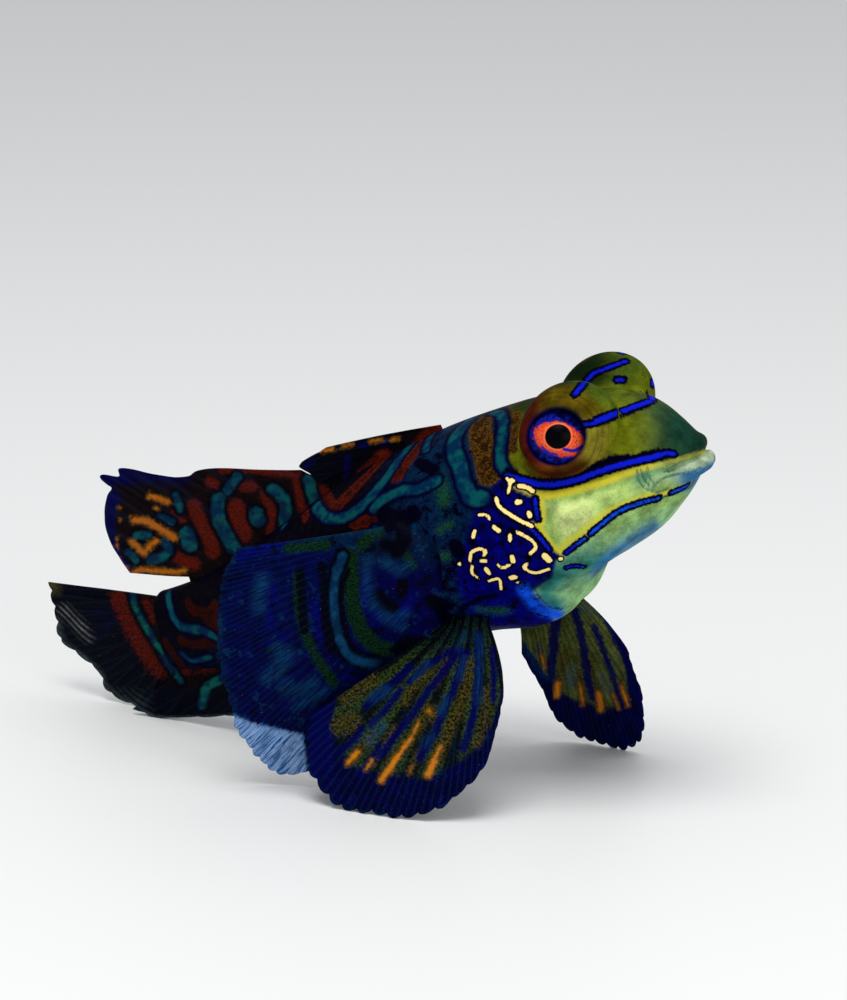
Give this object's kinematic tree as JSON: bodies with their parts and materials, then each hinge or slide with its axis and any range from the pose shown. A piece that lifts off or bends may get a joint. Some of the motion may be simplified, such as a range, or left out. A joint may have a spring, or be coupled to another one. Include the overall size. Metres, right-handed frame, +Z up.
{
  "type": "mandarinfish",
  "caption": "Life-size mandarinfish model, head raised, standing on its two pelvic fins and the lower edges of its anal and tail fins, tail turned aside, right pectoral fin fanned out.",
  "frame": {"origin": "on the floor, under the middle of the whole fish's box", "axes": "+X towards the snout, +Y to the fish's left, +Z up"},
  "size_m": [0.0578, 0.0234, 0.0317],
  "materials": {
    "head_skin": "wet, glossy",
    "trunk_skin": "wet, glossy",
    "tail_skin": "wet, glossy",
    "eye": "clear, polished",
    "dorsal_fin": "wet, glossy",
    "caudal_fin": "wet, glossy",
    "pectoral_fin": "wet, glossy",
    "pelvic_fin": "wet, glossy"
  },
  "bodies": {
    "root": {"head": "head_skin", "eye_right": "eye", "eye_left": "eye", "trunk": "trunk_skin", "tail": "tail_skin", "first_dorsal_fin": "dorsal_fin", "second_dorsal_fin": "dorsal_fin", "anal_fin": "caudal_fin", "caudal_fin": "caudal_fin", "pectoral_fin_right": "pectoral_fin", "pectoral_fin_left": "pectoral_fin", "pelvic_fin_right": "pelvic_fin", "pelvic_fin_left": "pelvic_fin"}
  },
  "joints": []
}
